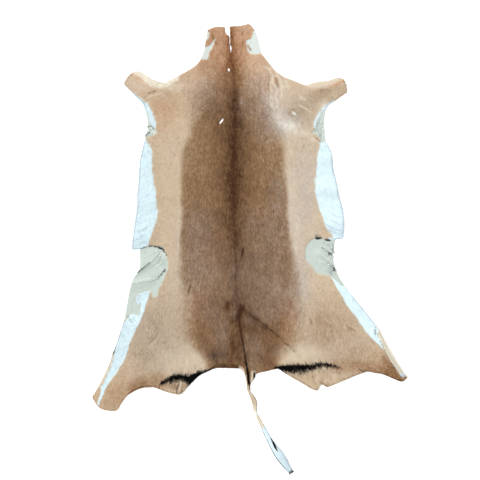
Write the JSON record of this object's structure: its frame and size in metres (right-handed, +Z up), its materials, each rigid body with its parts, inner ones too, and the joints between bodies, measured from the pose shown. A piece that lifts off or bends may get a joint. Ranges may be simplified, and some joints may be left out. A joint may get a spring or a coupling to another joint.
{
  "type": "impala hide rug",
  "caption": "One-piece tanned antelope hide with its short hair on, legs and tail left on, lying flat as a floor rug or throw.",
  "frame": {"origin": "on the floor under the middle of the hide's bounding box", "axes": "+Z up out of the hair side, +Y towards the neck, -Y towards the tail, +X the animal's right side"},
  "size_m": [0.945, 1.3531, 0.0149],
  "materials": {
    "hide": "tanned skin under short, smooth, lying hair: brown saddle, tan flanks, white belly, black buttock stripes"
  },
  "bodies": {
    "root": {"hide": "hide"}
  },
  "joints": []
}
